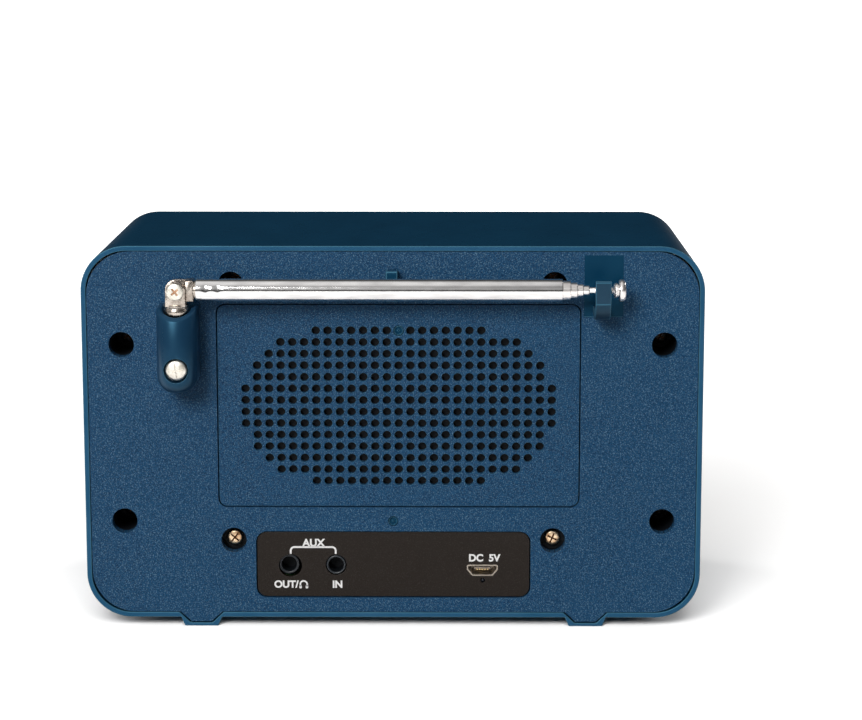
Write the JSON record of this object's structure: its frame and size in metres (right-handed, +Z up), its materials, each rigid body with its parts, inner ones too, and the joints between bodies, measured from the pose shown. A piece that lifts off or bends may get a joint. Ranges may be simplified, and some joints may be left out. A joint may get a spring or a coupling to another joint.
{
  "type": "tabletop radio",
  "caption": "Small rounded tabletop radio on feet, with a telescopic rear antenna, perforated rear panel, port plate, front speaker grille, tuning dial, knobs and buttons.",
  "frame": {"origin": "on the table, under the middle of the overall box", "axes": "+Z up; the controls face -Y, the ports and antenna face +Y, and the width runs along X"},
  "size_m": [0.15, 0.0956, 0.094],
  "materials": {
    "gloss_navy": "smooth, glossy, dark blue",
    "textured_navy": "fine spark texture, blue with a light speckle",
    "smooth_navy": "smooth, satin blue",
    "port_brown": "dark brown, fine matt",
    "black_plastic": "black, moulded",
    "socket_steel": "bright pressed steel",
    "screw_brass": "passivated, yellow",
    "antenna_chrome": "mirror chrome",
    "nickel": "warm nickel plate",
    "trim_chrome": "bright trim",
    "cream": "cream, satin",
    "dial_cream": "cream with a printed scale",
    "knob_black": "black, ribbed edge",
    "circuit_board": "green solder resist",
    "shield_steel": "tinned steel",
    "speaker_frame": "black enamel",
    "speaker_paper": "black pressed paper",
    "battery_sleeve": "shrink sleeve",
    "lamp_amber": "clear amber"
  },
  "bodies": {
    "case": {"antenna_bracket": "smooth_navy", "antenna_clip": "smooth_navy", "battery_cell": "battery_sleeve", "battery_holder": "black_plastic", "bracket_screw": "nickel", "cabinet": "gloss_navy", "case_screw_1": "screw_brass", "case_screw_2": "screw_brass", "case_screw_3": "screw_brass", "case_screw_4": "screw_brass", "case_screw_5": "screw_brass", "case_screw_6": "screw_brass", "case_screw_7": "screw_brass", "case_screw_8": "screw_brass", "charge_light": "black_plastic", "dial_plate": "dial_cream", "dial_ring": "trim_chrome", "front_panel": "gloss_navy", "front_trim": "trim_chrome", "in_jack": "black_plastic", "main_board": "circuit_board", "mode_control": "shield_steel", "out_jack": "black_plastic", "port_plate": "port_brown", "power_light": "lamp_amber", "radio_module": "shield_steel", "rear_cover": "textured_navy", "rear_grille": "textured_navy", "speaker_basket": "speaker_frame", "speaker_cone": "speaker_paper", "speaker_grille": "cream", "switch_board": "circuit_board", "switch_down": "black_plastic", "switch_power": "black_plastic", "switch_preset": "black_plastic", "switch_source": "black_plastic", "switch_up": "black_plastic", "tuning_control": "shield_steel", "usb_socket": "socket_steel", "volume_control": "shield_steel"},
    "antenna_knuckle": {"antenna_swivel": "nickel", "antenna_pin": "nickel"},
    "antenna_arm": {"antenna_base": "nickel", "antenna_tube_1": "antenna_chrome"},
    "antenna_section_2": {"antenna_tube_2": "antenna_chrome"},
    "antenna_section_3": {"antenna_tube_3": "antenna_chrome"},
    "antenna_section_4": {"antenna_tube_4": "antenna_chrome"},
    "antenna_section_5": {"antenna_tube_5": "antenna_chrome"},
    "antenna_rod": {"antenna_tip": "antenna_chrome"},
    "tuning": {"tuning_knob": "knob_black", "tuning_shaft": "socket_steel"},
    "volume": {"volume_knob": "knob_black", "volume_shaft": "socket_steel"},
    "mode": {"mode_knob": "knob_black", "mode_shaft": "socket_steel"},
    "power_button": {"button_power": "cream"},
    "source_button": {"button_source": "cream"},
    "down_button": {"button_down": "cream"},
    "up_button": {"button_up": "cream"},
    "preset_button": {"button_preset": "cream"}
  },
  "joints": [
    {"name": "antenna_turn", "type": "hinge", "parent": "case", "child": "antenna_knuckle", "pos_m": [0.0512, 0.043, 0.0786], "axis": [0, 0, -1], "range_deg": [0, 180]},
    {"name": "antenna_tilt", "type": "hinge", "parent": "antenna_knuckle", "child": "antenna_arm", "pos_m": [0.0512, 0.043, 0.0844], "axis": [0, 1, 0], "range_deg": [0, 90]},
    {"name": "antenna_slide_2", "type": "slide", "parent": "antenna_arm", "child": "antenna_section_2", "axis": [-1, 0, 0], "range_m": [0, 0.076]},
    {"name": "antenna_slide_3", "type": "slide", "parent": "antenna_section_2", "child": "antenna_section_3", "axis": [-1, 0, 0], "range_m": [0, 0.076]},
    {"name": "antenna_slide_4", "type": "slide", "parent": "antenna_section_3", "child": "antenna_section_4", "axis": [-1, 0, 0], "range_m": [0, 0.076]},
    {"name": "antenna_slide_5", "type": "slide", "parent": "antenna_section_4", "child": "antenna_section_5", "axis": [-1, 0, 0], "range_m": [0, 0.076]},
    {"name": "antenna_slide_6", "type": "slide", "parent": "antenna_section_5", "child": "antenna_rod", "axis": [-1, 0, 0], "range_m": [0, 0.076]},
    {"name": "tuning_turn", "type": "hinge", "parent": "case", "child": "tuning", "pos_m": [0.0385, -0.0478, 0.058], "axis": [0, 1, 0], "range_deg": [-150, 150]},
    {"name": "volume_turn", "type": "hinge", "parent": "case", "child": "volume", "pos_m": [0.056, -0.0478, 0.0215], "axis": [0, 1, 0], "range_deg": [0, 270]},
    {"name": "mode_turn", "type": "hinge", "parent": "case", "child": "mode", "pos_m": [0.0215, -0.0478, 0.0215], "axis": [0, 1, 0], "range_deg": [0, 90]},
    {"name": "power_press", "type": "slide", "parent": "case", "child": "power_button", "axis": [0, 1, 0], "range_m": [0, 0.001], "stiffness_N_per_m": 400, "springref_m": -0.002},
    {"name": "source_press", "type": "slide", "parent": "case", "child": "source_button", "axis": [0, 1, 0], "range_m": [0, 0.001], "stiffness_N_per_m": 400, "springref_m": -0.002},
    {"name": "down_press", "type": "slide", "parent": "case", "child": "down_button", "axis": [0, 1, 0], "range_m": [0, 0.001], "stiffness_N_per_m": 400, "springref_m": -0.002},
    {"name": "up_press", "type": "slide", "parent": "case", "child": "up_button", "axis": [0, 1, 0], "range_m": [0, 0.001], "stiffness_N_per_m": 400, "springref_m": -0.002},
    {"name": "preset_press", "type": "slide", "parent": "case", "child": "preset_button", "axis": [0, 1, 0], "range_m": [0, 0.001], "stiffness_N_per_m": 400, "springref_m": -0.002}
  ]
}
